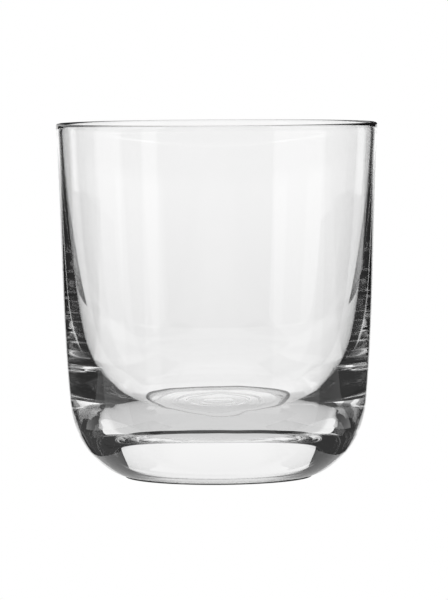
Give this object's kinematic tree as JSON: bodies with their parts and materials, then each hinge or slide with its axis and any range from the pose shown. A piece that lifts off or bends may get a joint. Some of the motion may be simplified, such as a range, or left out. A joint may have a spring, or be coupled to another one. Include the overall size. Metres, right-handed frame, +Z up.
{
  "type": "whiskey tumbler",
  "caption": "Straight-sided clear glass tumbler with a thin rim, a rounded heel and a heavy solid base on a flat foot ring.",
  "frame": {"origin": "centre of the foot ring, on the surface that the glass stands on", "axes": "+Z up along the axis of the glass, from the foot to the rim; X and Y are alike, as the glass is round"},
  "size_m": [0.085, 0.085, 0.0935],
  "materials": {
    "clear_glass": "fire-polished, clear"
  },
  "bodies": {
    "root": {"tumbler": "clear_glass"}
  },
  "joints": []
}
